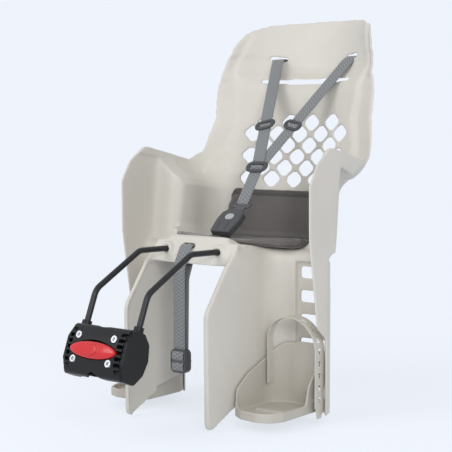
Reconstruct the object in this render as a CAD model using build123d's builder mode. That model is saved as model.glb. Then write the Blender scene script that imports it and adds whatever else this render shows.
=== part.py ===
from build123d import *
from math import sin, cos, tan, asin, degrees, radians, sqrt
import os

# Millimetres. Origin at the middle of the seat tube clamp, +Y to the rear, +Z up.
os.makedirs("parts", exist_ok=True)

# Driving sizes of the shell
wall = 4.0
pan_y = 219.0
pan_z = 158.0
pan_tilt = 7.0
back_tilt = 12.5
leg_z = -138.0
hip_half = 154.0
arm_half = 198.0
head_half = 165.0
back_reach = 256.0
head_set_back = 36.0
back_round = 360.0
head_round = 183.0
pan_round = 34.0
nose_round = 22.0
panel_x = 90.0
return_x = arm_half + 3
well_y = 318.0
front_reach = -150.0
tip_y = 139.2
tip_z = -143.0
ladder_x = return_x - 38.5
ladder_wide = 59.0
ladder_deep = 8.0
ledge_low = 106.0
ledge_high = 148.0
head_low = 296.0
head_high = 346.0
tub_top = 455.0

# Driving sizes of the carrier
rod_radius = 5.0
rod_x = 55.0
rod_fit = 0.35
hole_y = 213.7
hole_z = 142.0
rod_drop = 7.0
rod_lift = 2.6
rod_back = 338.0
tube_tilt = 22.5
tube_radius = 15.9
liner = 2.6
block_half = 63.0
block_high = 40.0
bolt_x = 37.0
bolt_u = 19.0

# Harness and footrest
crotch_s = 79.5
crotch_y = 297.9
screw_y = 248.0
safety_x = -14.0
strap_y = 294.5
strap_turn = 2.5
strap_in = 101.6
strap_out = return_x - 5
strap_wide = 28.0
strap_top = 36.0
foot_high = 113.0
slot_x = 82.0
slot_h = 361.0
harness_y = 391.7
harness_z = 275.0
slider_v = 99.0
web_wide = 25.0
web_thick = 1.6
foot_low = -121.0
foot_in = 93.0
foot_out = return_x - 17
pad_thick = 7.0

pan_sin = sin(radians(pan_tilt))
pan_cos = cos(radians(pan_tilt))
lean = tan(radians(back_tilt - pan_tilt))
tub_plane = Plane(origin=(0, pan_y, pan_z), x_dir=(1, 0, 0), z_dir=(0, pan_sin, pan_cos))
back_plane = Plane(origin=tub_plane.from_local_coords((0, 190, 0)), x_dir=(-1, 0, 0),
                   z_dir=(0, pan_cos, -pan_sin))
rod_plane = Plane(origin=(0, hole_y, hole_z), x_dir=(1, 0, 0),
                  z_dir=(0, cos(radians(rod_drop)), -sin(radians(rod_drop))))
tube_sin = sin(radians(tube_tilt))
tube_cos = cos(radians(tube_tilt))
tube_dir = (0, tube_sin, tube_cos)
clamp_plane = Plane(origin=(0, 0, 0), x_dir=(1, 0, 0), z_dir=tube_dir)
face_plane = Plane(origin=(0, 0, 0), x_dir=(1, 0, 0), z_dir=(0, -tube_cos, tube_sin))
cheek_plane = Plane(origin=(0, 0, 0), x_dir=(0, tube_cos, -tube_sin), z_dir=(1, 0, 0))


def blend(h, low, high):
    k = min(max((h - low) / (high - low), 0), 1)
    return k * k * (3 - 2 * k)


def tub(grow, side=0, back=0):
    big = pan_round + grow
    levels = [-grow, 2 - grow, 8 - grow, 18 - grow, pan_round]
    levels += [ledge_low + (ledge_high - ledge_low) * k / 4 for k in range(5)]
    levels += [head_low + (head_high - head_low) * k / 4 for k in range(5)]
    levels += [tub_top]
    with BuildPart() as body:
        for h in levels:
            drop = max(pan_round - h, 0)
            tuck = big - sqrt(max(big * big - drop * drop, 0))
            head = blend(h, head_low, head_high)
            half = hip_half + (arm_half - hip_half) * blend(h, ledge_low, ledge_high)
            half += grow + side - tuck - (arm_half - head_half) * head
            reach = back_reach + h * lean + head_set_back * head + grow + back - tuck
            bow = back_round + (head_round - back_round) * blend(h, head_low - 12, head_high - 9)
            bow += grow - tuck
            edge = reach - bow + sqrt(bow * bow - half * half)
            mid = reach - bow + sqrt(bow * bow - half * half / 4)
            with BuildSketch(tub_plane.offset(h)):
                with BuildLine():
                    Polyline((half, edge), (half, front_reach), (0, front_reach), (0, reach))
                    ThreePointArc((0, reach), (half / 2, mid), (half, edge))
                make_face()
                fillet(vertices().sort_by(lambda v: -v.X - v.Y)[0], 56 + grow - tuck)
        loft(ruled=True)
    return body.part


def well(grow):
    big = nose_round - grow
    levels = [leg_z - pan_z - 60, -nose_round, -nose_round + 0.4 * big, -nose_round + 0.7 * big]
    levels += [-nose_round + 0.87 * big, -nose_round + 0.97 * big, -grow]
    with BuildPart() as body:
        for h in levels:
            rise = min(max(h + nose_round, 0), big)
            flare = big - sqrt(big * big - rise * rise)
            near = panel_x - grow - flare
            far = return_x + grow
            deep = (well_y - pan_y - h * pan_sin) / pan_cos + grow + flare
            with BuildSketch(tub_plane.offset(h)):
                with BuildLine():
                    Polyline((near, front_reach), (near, deep), (far, deep), (far, front_reach), close=True)
                make_face()
                fillet(vertices().sort_by(lambda v: v.X - v.Y)[0], 38 + grow + flare)
                fillet(vertices().sort_by(lambda v: -v.X - v.Y)[0], 15 + grow)
        loft(ruled=True)
        # upper part beside the hip, up to the arm
        step_back = (well_y - pan_y) / pan_cos + nose_round + grow
        for h in (-grow, 2 - grow, 8 - grow, 18 - grow, pan_round, 152):
            drop = max(pan_round - h, 0)
            tuck = pan_round + grow - sqrt(max((pan_round + grow) ** 2 - drop * drop, 0))
            near = hip_half + grow - tuck - 1
            with BuildSketch(tub_plane.offset(h)):
                with BuildLine():
                    Polyline((near, front_reach), (near, step_back), (return_x + grow, step_back),
                             (return_x + grow, front_reach), close=True)
                make_face()
                fillet(vertices().sort_by(lambda v: -v.X - v.Y)[0], 15 + grow)
        loft(ruled=True)
    return body.part


def space(grow):
    deep = (well_y - pan_y) / pan_cos + nose_round
    turn = 20 - grow
    with BuildPart() as body:
        add(tub(grow))
        add(well(grow))
        with BuildSketch(tub_plane.offset(20)):
            with BuildLine():
                Polyline((hip_half + grow, deep + grow + turn), (hip_half + grow - 1, deep + grow + turn),
                         (hip_half + grow - 1, deep + grow - 9), (hip_half + grow + turn, deep + grow - 9),
                         (hip_half + grow + turn, deep + grow))
                RadiusArc((hip_half + grow + turn, deep + grow), (hip_half + grow, deep + grow + turn), turn)
            make_face()
        extrude(amount=ledge_high - 20)
        with BuildSketch(Plane.XY.offset(leg_z + 12 - grow)):
            with Locations((ladder_x, well_y)):
                Rectangle(ladder_wide + 2 * grow, 2 * (ladder_deep + grow))
        extrude(amount=250 + 2 * grow)
    return body.part


def rim_space(grow):
    with BuildPart() as body:
        add(tub(grow, 2, 7))
        with BuildSketch(Plane.YZ) as band:
            with BuildLine():
                Polyline((398, 258 - grow), (450 + grow, 262 - grow), (484 + grow, 300), (505 + grow, 367),
                         (515 + grow, 449), (541 + grow, 516), (560 + grow, 560), (398, 560), close=True)
            make_face()
        extrude(amount=260, mode=Mode.INTERSECT)
    return body.part


with BuildPart() as keep:
    with BuildSketch(Plane.YZ.offset(104)):
        with BuildLine():
            Polyline((306, -126), (304, 2), (279, 22), (256, 162), (254, 253), (277, 289), (314, 315), (439, 289),
                     (465, 305), (488, 367), (498, 449), (523, 516), (536, 541), (580, 552), (720, 552),
                     (720, -126), close=True)
        make_face()
        fillet(vertices().filter_by(lambda v: 240 < v.Y < 320 and v.X < 320), 24)
        fillet(vertices().filter_by(lambda v: v.X < 310 and -10 < v.Y < 30), 7)
        fillet(vertices().filter_by(lambda v: 430 < v.X < 470 and v.Y > 280), 14)
        fillet(vertices().filter_by(lambda v: 530 < v.X < 590 and v.Y > 530), 22)
    extrude(amount=140)
    with BuildSketch(Plane.YZ):
        with BuildLine():
            Polyline((tip_y, tip_z), (136.7, 51), (187.7, 120), (222, 160), (222, 552), (720, 552), (720, -84),
                     (295, -84), (217, -100), (217, -107), close=True)
        make_face()
        fillet(vertices().filter_by(lambda v: v.X < 190 and v.Y > 0), 30)
        fillet(vertices().filter_by(lambda v: v.Y < tip_z + 1), 12)
    extrude(amount=104)

with BuildPart() as seat_shell:
    add(space(wall))
    add(rim_space(wall))
    # lip that hangs down outside the arm and the wing
    with BuildSketch(Plane.YZ.offset(arm_half - 2)):
        Polygon((296, 291), (320, 291), (380, 274.7), (411, 266), (420, 277), (433, 343), (296, 343), align=None)
    extrude(amount=return_x + wall - arm_half + 2)
    add(space(0), mode=Mode.SUBTRACT)
    add(rim_space(0), mode=Mode.SUBTRACT)
    add(keep.part, mode=Mode.INTERSECT)
    mirror(about=Plane.YZ)
    # front bar between the leg panels
    with BuildSketch(Plane.YZ):
        with BuildLine():
            Polyline((199, 121), (224, 164), (230, 166), (250, 159), (250, 153), (232, 160), (228, 159),
                     (207.5, 125.5), (238, 125.5), (238, 121), close=True)
        make_face()
    extrude(amount=panel_x - 1, both=True)
    # sleeves that the rods run in
    with BuildSketch(rod_plane.offset(-9)):
        with Locations((rod_x, 0), (-rod_x, 0)):
            Circle(13)
    extrude(amount=24)
    with BuildSketch(rod_plane.offset(10)):
        with Locations((rod_x, 0), (-rod_x, 0)):
            Circle(9.5)
    extrude(amount=36)
    with BuildSketch(rod_plane.offset(70)):
        with Locations((rod_x, -1), (-rod_x, -1)):
            Rectangle(24, 29)
    extrude(amount=16)
    with BuildSketch(rod_plane.offset(-20)):
        with Locations((rod_x, 0), (-rod_x, 0)):
            Circle(rod_radius + rod_fit)
    extrude(amount=140, mode=Mode.SUBTRACT)
    # rolled front edge of each leg panel
    for start in (panel_x - 9.5, 1 - panel_x):
        with BuildSketch(Plane.YZ.offset(start)):
            with BuildLine():
                Polyline((tip_y, tip_z), (136.7, 51), (187.7, 120), (199, 131), (240, 131), (240, -96.4), close=True)
            make_face()
            fillet(vertices().filter_by(lambda v: v.X < 190 and v.Y > 0), 30)
            fillet(vertices().filter_by(lambda v: v.Y < tip_z + 1), 12)
            offset(amount=-4.5, mode=Mode.SUBTRACT)
            with BuildLine():
                Polyline((100, -160), (152, -160), (152, -20), (204, 110), (204, 140), (100, 140), close=True)
            make_face(mode=Mode.INTERSECT)
        extrude(amount=8.5)
    # ladder openings for the footrests
    with BuildSketch(Plane.XZ.offset(-well_y)):
        with GridLocations(2 * ladder_x, 40, 2, 6):
            with Locations((0, 6)):
                RectangleRounded(48, 19, 2)
    extrude(amount=-30, mode=Mode.SUBTRACT)
    # diamond mesh, lumbar slot and strap slots in the back
    with BuildSketch(back_plane):
        for row in range(6):
            count = 4 + row % 2
            with Locations((0, 234.5 - 21.3 * row)):
                with GridLocations(48.5, 1, count, 1):
                    Polygon((4, 14), (16, 3), (16, -3), (4, -14), (-4, -14), (-16, -3), (-16, 3), (-4, 14))
        with Locations((0, 314)):
            SlotOverall(196, 6)
            SlotOverall(92, 11)
        with Locations((slot_x, slot_h), (-slot_x, slot_h)):
            SlotOverall(32, 7)
    extrude(amount=170, mode=Mode.SUBTRACT)
    # slot for the crotch strap, openings for the safety strap and screws in the sleeves
    with BuildSketch(tub_plane.offset(-20)):
        with Locations((0, crotch_s)):
            SlotOverall(34, 9)
    extrude(amount=30, mode=Mode.SUBTRACT)
    with Locations((safety_x, 216, 149.5)):
        Box(web_wide + 0.6, 24, 8, mode=Mode.SUBTRACT)
    with Locations((safety_x, 214, 123)):
        Box(web_wide + 0.6, 13, 9, mode=Mode.SUBTRACT)
    with BuildSketch(Plane.XY.offset(120)):
        with Locations((rod_x, screw_y), (-rod_x, screw_y)):
            Circle(2.7)
    extrude(amount=17, mode=Mode.SUBTRACT)
seat_shell.part.label = "seat_shell"
export_step(seat_shell.part, "parts/seat_shell.step")

# Padded liner that lies in the bucket
with BuildPart() as seat_pad:
    add(tub(-1.0))
    add(tub(-1.0 - pad_thick), mode=Mode.SUBTRACT)
    mirror(about=Plane.YZ)
    with BuildSketch(tub_plane):
        with BuildLine():
            Polyline((-146, 118), (-120, 84), (-60, 46), (0, 38), (60, 46), (120, 84), (146, 118), (146, 330),
                     (-146, 330), close=True)
        make_face()
        fillet(vertices().sort_by(Axis.Y)[:5], 30)
        with Locations((0, crotch_s)):
            SlotOverall(40, 14, mode=Mode.SUBTRACT)
    extrude(amount=108, mode=Mode.INTERSECT)
    with BuildSketch(back_plane.offset(-200)):
        with BuildLine():
            Polyline((-146, 0.2), (-140, 60), (-120, 106), (120, 106), (140, 60), (146, 0.2), close=True)
        make_face()
        fillet(vertices().sort_by(Axis.Y)[-4:], 18)
    extrude(amount=400, mode=Mode.INTERSECT)
seat_pad.part.label = "seat_pad"
export_step(seat_pad.part, "parts/seat_pad.step")

# Rod carrier: one bent rod, its closed end under the pan
low_u = -block_high + 4
bend_u = 98.5
end_y = rod_back + 28
bend_z = hole_z + 13 * tan(radians(rod_drop))
end_z = hole_z - (end_y - hole_y) * tan(radians(rod_drop))
with BuildPart() as support_rod:
    with BuildLine() as rod_line:
        FilletPolyline((rod_x, low_u * tube_dir[1], low_u * tube_dir[2]),
                       (rod_x, bend_u * tube_dir[1], bend_u * tube_dir[2]),
                       (rod_x, 140.3, hole_z + rod_lift), (rod_x, hole_y - 13, bend_z), (rod_x, end_y, end_z),
                       (-rod_x, end_y, end_z), (-rod_x, hole_y - 13, bend_z),
                       (-rod_x, 140.3, hole_z + rod_lift),
                       (-rod_x, bend_u * tube_dir[1], bend_u * tube_dir[2]),
                       (-rod_x, low_u * tube_dir[1], low_u * tube_dir[2]), radius=27)
    with BuildSketch(Plane(origin=rod_line.line @ 0, z_dir=rod_line.line % 0)):
        Circle(rod_radius)
    sweep()
    # notches for the latch bars
    with BuildSketch(cheek_plane.offset(-block_half)):
        with Locations((-7.5, 0)):
            Rectangle(10, 11)
    extrude(amount=2 * block_half, mode=Mode.SUBTRACT)
support_rod.part.label = "support_rod"
export_step(support_rod.part, "parts/support_rod.step")

# Clamp block
with BuildPart() as clamp_housing:
    with BuildSketch(cheek_plane):
        with BuildLine():
            Polyline((-1, 39), (-19, 39), (-28, 20), (-30, 0), (-27, -20), (-15, -41), (-1, -41), close=True)
        make_face()
        fillet(vertices().filter_by(lambda v: v.X < -10), 9)
    extrude(amount=block_half - 5, both=True)
    with BuildSketch(cheek_plane.offset(46.5)):
        with BuildLine():
            Polyline((-14, 39), (9, 39), (24, 26), (31, 2), (27, -22), (12, -41), (-12, -41), (-24, -18),
                     (-25, 16), close=True)
        make_face()
        fillet(vertices(), 7)
    extrude(amount=block_half - 46.5)
    mirror(about=Plane.YZ)
    with BuildSketch(clamp_plane.offset(38)):
        with Locations((rod_x, 0), (-rod_x, 0)):
            Circle(8)
    extrude(amount=9)
    # bores for tube, rods, bolts and the mechanism
    with BuildSketch(clamp_plane.offset(-50)):
        Circle(tube_radius + liner)
    extrude(amount=100, mode=Mode.SUBTRACT)
    with BuildSketch(clamp_plane.offset(low_u - 1)):
        with Locations((rod_x, 0), (-rod_x, 0)):
            Circle(rod_radius + 0.15)
    extrude(amount=100, mode=Mode.SUBTRACT)
    with BuildSketch(face_plane.offset(-20)):
        with GridLocations(2 * bolt_x, 2 * bolt_u, 2, 2):
            Circle(3.3)
    extrude(amount=80, mode=Mode.SUBTRACT)
    with BuildSketch(face_plane.offset(23)):
        with GridLocations(2 * bolt_x, 2 * bolt_u, 2, 2):
            Circle(6.3)
    extrude(amount=20, mode=Mode.SUBTRACT)
    with BuildSketch(face_plane.offset(21)):
        with BuildLine():
            ThreePointArc((-48, 0), (0, 13.5), (48, 0))
            ThreePointArc((48, 0), (0, -13.5), (-48, 0))
        make_face()
    extrude(amount=30, mode=Mode.SUBTRACT)
    with BuildSketch(face_plane.offset(2.2)):
        with Locations((40, 0), (-40, 0)):
            Rectangle(37, 9.4)
    extrude(amount=6.4, mode=Mode.SUBTRACT)
    with BuildSketch(face_plane.offset(2.2)):
        with Locations((33, 0), (-33, 0)):
            Rectangle(5.4, 6.4)
    extrude(amount=20, mode=Mode.SUBTRACT)
    with BuildSketch(face_plane.offset(17)):
        with Locations((0, -1)):
            with GridLocations(104, 9.4, 2, 7):
                Rectangle(11, 5.6)
    extrude(amount=30, mode=Mode.SUBTRACT)
clamp_housing.part.label = "clamp_housing"
export_step(clamp_housing.part, "parts/clamp_housing.step")

with BuildPart() as clamp_jaw:
    with BuildSketch(cheek_plane):
        with BuildLine():
            Polyline((1, 36), (16, 36), (28, 22), (31, 0), (28, -20), (14, -37), (1, -37), close=True)
        make_face()
        fillet(vertices().filter_by(lambda v: v.X > 10), 8)
    extrude(amount=45.8, both=True)
    with BuildSketch(clamp_plane.offset(-50)):
        Circle(tube_radius + liner)
    extrude(amount=100, mode=Mode.SUBTRACT)
    with BuildSketch(face_plane.offset(-40)):
        with GridLocations(2 * bolt_x, 2 * bolt_u, 2, 2):
            Circle(3.4)
    extrude(amount=60, mode=Mode.SUBTRACT)
    with BuildSketch(face_plane.offset(-40)):
        with GridLocations(2 * bolt_x, 2 * bolt_u, 2, 2):
            RegularPolygon(5.8, 6)
    extrude(amount=18, mode=Mode.SUBTRACT)
clamp_jaw.part.label = "clamp_jaw"
export_step(clamp_jaw.part, "parts/clamp_jaw.step")

with BuildPart() as front_grip:
    with BuildSketch(clamp_plane.offset(-33)):
        Circle(tube_radius + liner - 0.02)
        Circle(tube_radius, mode=Mode.SUBTRACT)
        with Locations((0, 30)):
            Rectangle(60, 64, mode=Mode.SUBTRACT)
    extrude(amount=66)
front_grip.part.label = "front_grip"
export_step(front_grip.part, "parts/front_grip.step")

with BuildPart() as rear_grip:
    with BuildSketch(clamp_plane.offset(-33)):
        Circle(tube_radius + liner - 0.02)
        Circle(tube_radius, mode=Mode.SUBTRACT)
        with Locations((0, -30)):
            Rectangle(60, 64, mode=Mode.SUBTRACT)
    extrude(amount=66)
rear_grip.part.label = "rear_grip"
export_step(rear_grip.part, "parts/rear_grip.step")

with BuildPart() as clamp_bolts:
    with BuildSketch(face_plane.offset(-30)):
        with GridLocations(2 * bolt_x, 2 * bolt_u, 2, 2):
            Circle(3)
    extrude(amount=53.1)
    with BuildSketch(face_plane.offset(23.1)):
        with GridLocations(2 * bolt_x, 2 * bolt_u, 2, 2):
            Circle(5.6)
    extrude(amount=5.6)
    with BuildSketch(face_plane.offset(25.5)):
        with GridLocations(2 * bolt_x, 2 * bolt_u, 2, 2):
            RegularPolygon(3.2, 6)
    extrude(amount=10, mode=Mode.SUBTRACT)
clamp_bolts.part.label = "clamp_bolts"
export_step(clamp_bolts.part, "parts/clamp_bolts.step")

with BuildPart() as clamp_nuts:
    with BuildSketch(face_plane.offset(-26.6)):
        with GridLocations(2 * bolt_x, 2 * bolt_u, 2, 2):
            RegularPolygon(5.6, 6)
            Circle(3.35, mode=Mode.SUBTRACT)
    extrude(amount=4.5)
clamp_nuts.part.label = "clamp_nuts"
export_step(clamp_nuts.part, "parts/clamp_nuts.step")

with BuildPart() as release_button:
    with BuildSketch(face_plane.offset(25)):
        with BuildLine():
            ThreePointArc((-47, 0), (0, 13), (47, 0))
            ThreePointArc((47, 0), (0, -13), (-47, 0))
        make_face()
    extrude(amount=7)
    chamfer(release_button.faces().filter_by(GeomType.PLANE).sort_by(Axis.Y)[0].edges(), 2)
    with BuildSketch(face_plane.offset(26)):
        Circle(11.5)
    extrude(amount=8)
    with BuildSketch(face_plane.offset(6.5)):
        with Locations((33, 0), (-33, 0)):
            Rectangle(3, 5)
    extrude(amount=19.5)
release_button.part.label = "release_button"
export_step(release_button.part, "parts/release_button.step")

for side, sign in (("left", 1), ("right", -1)):
    with BuildPart() as latch_bar:
        with BuildSketch(face_plane.offset(2.9)):
            with Locations((sign * 41.5, 0)):
                Rectangle(29, 8.4)
            with Locations((sign * 35.5, 0)):
                Rectangle(9, 5.6, mode=Mode.SUBTRACT)
        extrude(amount=5.1)
    latch_bar.part.label = side + "_latch_bar"
    export_step(latch_bar.part, "parts/" + side + "_latch_bar.step")

screw_z = hole_z - (screw_y - hole_y) * tan(radians(rod_drop)) - rod_radius - 0.4
with BuildPart() as rod_screws:
    with BuildSketch(Plane.XY.offset(screw_z - 9.4)):
        with Locations((rod_x, screw_y), (-rod_x, screw_y)):
            Circle(4.6)
    extrude(amount=4.6)
    with BuildSketch(Plane.XY.offset(screw_z - 5)):
        with Locations((rod_x, screw_y), (-rod_x, screw_y)):
            Circle(2.5)
    extrude(amount=5)
    with BuildSketch(Plane.XY.offset(screw_z - 10)):
        with Locations((rod_x, screw_y), (-rod_x, screw_y)):
            RegularPolygon(2.6, 6)
    extrude(amount=3, mode=Mode.SUBTRACT)
rod_screws.part.label = "rod_screws"
export_step(rod_screws.part, "parts/rod_screws.step")

# Footrests and their straps, one of each per side
heel_y = well_y - 1.3
turn_cos = cos(radians(strap_turn))
turn_sin = sin(radians(strap_turn))
strap_run = (strap_out - strap_in) / turn_cos
strap_bend = strap_run - 40
stud_y = strap_y + (strap_out - strap_in) * turn_sin / turn_cos
strap_plane = Plane(origin=(strap_in, strap_y, 0), x_dir=(turn_cos, turn_sin, 0),
                    z_dir=(turn_sin, -turn_cos, 0))
hole_plane = Plane(origin=(strap_out, stud_y, 0), x_dir=(-turn_sin, turn_cos, 0),
                   z_dir=(turn_cos, turn_sin, 0))
for side, sign in (("left", 1), ("right", -1)):
    with BuildPart() as footrest:
        with BuildSketch(Plane.XY.offset(foot_low)) as sole:
            with BuildLine():
                Polyline((foot_in, heel_y), (foot_in, 203), (118, 187), (150, 183.5), (173, 192),
                         (foot_out, 214), (foot_out, heel_y), close=True)
            make_face()
            fillet(vertices().filter_by(lambda v: v.Y < 215), 14)
            fillet(vertices().filter_by(lambda v: v.Y > 300 and v.X < 120), 37)
            fillet(vertices().filter_by(lambda v: v.Y > 300 and v.X > 170), 6)
        extrude(amount=foot_high)
        with BuildSketch(Plane.XY.offset(foot_low + 7)):
            offset(sole.sketch, -4)
        extrude(amount=foot_high, mode=Mode.SUBTRACT)
        # side view of the inner wing and heel, then of the lower outer wall
        with BuildSketch(Plane.YZ.offset(foot_in - 5)):
            with BuildLine():
                Polyline((150, foot_low + 15), (203, foot_low + 15), (206, -79), (238, -56), (289, -36),
                         (heel_y, -9), (heel_y + 9, -9), (heel_y + 9, 10), (150, 10), close=True)
            make_face()
            fillet(vertices().filter_by(lambda v: v.Y < -30 and 200 < v.X < 300), 12)
        extrude(amount=52, mode=Mode.SUBTRACT)
        with BuildSketch(Plane.YZ.offset(foot_in + 45)):
            with BuildLine():
                Polyline((150, foot_low + 15), (278, foot_low + 15), (286, -76), (303, -56), (309, -9),
                         (heel_y, -8.5), (heel_y + 9, -8.5), (heel_y + 9, 10), (150, 10), close=True)
            make_face()
            fillet(vertices().filter_by(lambda v: v.Y < -30 and 200 < v.X < 300), 6)
        extrude(amount=60, mode=Mode.SUBTRACT)
        # grip bar across the sole
        with BuildSketch(Plane.XY.offset(foot_low + 6)):
            with Locations((140, 236)):
                RectangleRounded(56, 9, 4)
        extrude(amount=5)
        # carriage that runs in the ladder recess
        with BuildSketch(Plane.XZ.offset(-heel_y + 1)):
            with Locations((ladder_x, -54)):
                Rectangle(ladder_wide - 0.6, 48)
        extrude(amount=-(well_y + ladder_deep - 0.3 - heel_y + 1))
        # stud for the strap
        with BuildSketch(Plane.YZ.offset(foot_out - 1)):
            with Locations((stud_y, -100)):
                Circle(2)
        extrude(amount=13)
        if sign < 0:
            mirror(about=Plane.YZ, mode=Mode.REPLACE)
    footrest.part.label = side + "_footrest"
    export_step(footrest.part, "parts/" + side + "_footrest.step")

    with BuildPart() as foot_strap:
        with BuildSketch(strap_plane.offset(-strap_wide / 2)):
            for cut, mode in ((0, Mode.ADD), (web_thick, Mode.SUBTRACT)):
                with BuildLine():
                    Polyline((cut, strap_top - 40), (cut, -80), (strap_run / 2, -80), (strap_run / 2, -129),
                             (strap_run - cut, -129), (strap_run - cut, strap_top - strap_bend))
                    CenterArc((strap_run - strap_bend, strap_top - strap_bend), strap_bend - cut, 0, 90)
                    CenterArc((40, strap_top - 40), 40 - cut, 90, 90)
                make_face(mode=mode)
        extrude(amount=strap_wide)
        # the inner leg is narrower, to clear the heel
        with BuildSketch(Plane.XY.offset(-90)):
            Polygon((90, 297), (118, 297), (160, 316), (160, 330), (90, 330), align=None)
        extrude(amount=140, mode=Mode.SUBTRACT)
        # holes for the stud, down the leg and over the foot
        with BuildSketch(hole_plane):
            with Locations(*[(0, -100 + 20 * k) for k in range(5)]):
                RegularPolygon(2.8, 8)
            with Locations(*[(0, -95.5 + 20 * k) for k in range(5)]):
                Rectangle(8, 2.4)
            for end in (-1, 1):
                with BuildLine():
                    Polyline((end * 15, -130), (end * 15, -108), (end * 10, -114), (end * 9, -122), (end * 5, -130),
                             close=True)
                make_face()
        extrude(amount=16, both=True, mode=Mode.SUBTRACT)
        for angle in (22, 44, 66, 88):
            spot = (strap_run - strap_bend + strap_bend * cos(radians(angle)),
                    strap_top - strap_bend + strap_bend * sin(radians(angle)), 0)
            out = strap_plane.x_dir * cos(radians(angle)) + Vector(0, 0, sin(radians(angle)))
            with BuildSketch(Plane(origin=strap_plane.from_local_coords(spot), x_dir=strap_plane.z_dir, z_dir=out)):
                RegularPolygon(2.8, 8)
                with Locations((0, 4.5)):
                    Rectangle(8, 2.4)
            extrude(amount=4, both=True, mode=Mode.SUBTRACT)
        if sign < 0:
            mirror(about=Plane.YZ, mode=Mode.REPLACE)
    foot_strap.part.label = side + "_foot_strap"
    export_step(foot_strap.part, "parts/" + side + "_foot_strap.step")

# Harness, all in one sloping plane from the strap slots to the buckle
slot_end = tub_plane.from_local_coords((0, back_reach + 51.4, slot_h - 0.9))
harness_dy = slot_end.Y - harness_y
harness_dz = slot_end.Z - harness_z
slope = sqrt(harness_dy * harness_dy + harness_dz * harness_dz)
harness_plane = Plane(origin=(0, harness_y, harness_z), x_dir=(1, 0, 0),
                      z_dir=(0, -harness_dz / slope, harness_dy / slope))
slant = slot_x / slope
buckle_plane = Plane(origin=(0, 300, 187), x_dir=(1, 0, 0), z_dir=(0, -0.6, 0.8))
loop = buckle_plane.from_local_coords((0, 53, -7.7))
chest_run = sqrt((harness_y - loop.Y) ** 2 + (harness_z - loop.Z) ** 2)
chest_plane = Plane(origin=(0, harness_y, harness_z), x_dir=(1, 0, 0),
                    z_dir=(0, (loop.Z - harness_z) / chest_run, (harness_y - loop.Y) / chest_run))
skew = web_wide / 2 * sqrt(1 + slant * slant)
# the anchors lie flat on the rear face of the back, which is round there
rear_bow = head_round + wall
rear_drop = rear_bow - sqrt(rear_bow * rear_bow - slot_x * slot_x)
anchor_turn = degrees(asin(slot_x / rear_bow))
anchor_x = slot_x + 3.8 * sin(radians(anchor_turn))
anchor_y = back_reach + slot_h * lean + head_set_back + wall - rear_drop + 3.8 * cos(radians(anchor_turn))
for side, sign, layer, tail in (("left", 1, 0, 2), ("right", -1, web_thick + 0.2, -5)):
    with BuildPart() as shoulder_strap:
        with BuildSketch(harness_plane.offset(layer)):
            with BuildLine():
                Polyline((sign * (slot_x - skew), slope + 2),
                         (sign * (slot_x - 13 * slant + skew), slope - 13),
                         (sign * (skew + tail * slant), tail),
                         (-sign * (skew - tail * slant), tail), close=True)
            make_face()
        extrude(amount=web_thick)
        if side == "right":
            with BuildSketch(chest_plane.offset(layer)):
                with Locations((0, (4 - chest_run) / 2)):
                    Rectangle(web_wide, chest_run + 4)
            extrude(amount=web_thick)
        with BuildSketch(tub_plane.offset(slot_h - web_thick / 2)):
            with Locations((sign * slot_x, 314)):
                Rectangle(web_wide, 28)
        extrude(amount=web_thick)
    shoulder_strap.part.label = side + "_shoulder_strap"
    export_step(shoulder_strap.part, "parts/" + side + "_shoulder_strap.step")

    with BuildPart() as strap_slider:
        with BuildSketch(harness_plane.offset(layer + web_thick / 2 - 3.5)):
            with Locations(Location((sign * slot_x * slider_v / slope, slider_v, 0), (0, 0, -sign * 17))):
                RectangleRounded(36, 17, 4)
        extrude(amount=7)
        with BuildSketch(harness_plane.offset(layer + web_thick / 2 - 1.4)):
            with Locations(Location((sign * slot_x * slider_v / slope, slider_v, 0), (0, 0, -sign * 17))):
                Rectangle(28, 30)
        extrude(amount=2.8, mode=Mode.SUBTRACT)
        with BuildSketch(harness_plane.offset(layer + web_thick / 2)):
            with Locations(Location((sign * slot_x * slider_v / slope, slider_v, 0), (0, 0, -sign * 17))):
                with Locations((0, 4), (0, -4)):
                    Rectangle(27, 4.6)
        extrude(amount=10, mode=Mode.SUBTRACT)
    strap_slider.part.label = side + "_strap_slider"
    export_step(strap_slider.part, "parts/" + side + "_strap_slider.step")

    with BuildPart() as strap_anchor:
        with BuildSketch(tub_plane.offset(slot_h - 9)):
            with Locations(Location((sign * anchor_x, anchor_y, 0), (0, 0, -sign * anchor_turn))):
                RectangleRounded(34, 7, 2)
        extrude(amount=7.5)
    strap_anchor.part.label = side + "_strap_anchor"
    export_step(strap_anchor.part, "parts/" + side + "_strap_anchor.step")

with BuildPart() as chest_slider:
    with BuildSketch(harness_plane.offset(web_thick + 0.1 - 4.5)):
        RectangleRounded(43, 19, 5)
    extrude(amount=9)
    with BuildSketch(harness_plane.offset(-0.5)):
        Rectangle(35, 40)
    extrude(amount=2 * web_thick + 1.2, mode=Mode.SUBTRACT)
    with BuildSketch(harness_plane.offset(web_thick + 0.1)):
        with Locations((0, 4.4), (0, -4.4)):
            Rectangle(34, 5)
    extrude(amount=12, mode=Mode.SUBTRACT)
chest_slider.part.label = "chest_slider"
export_step(chest_slider.part, "parts/chest_slider.step")

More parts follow.
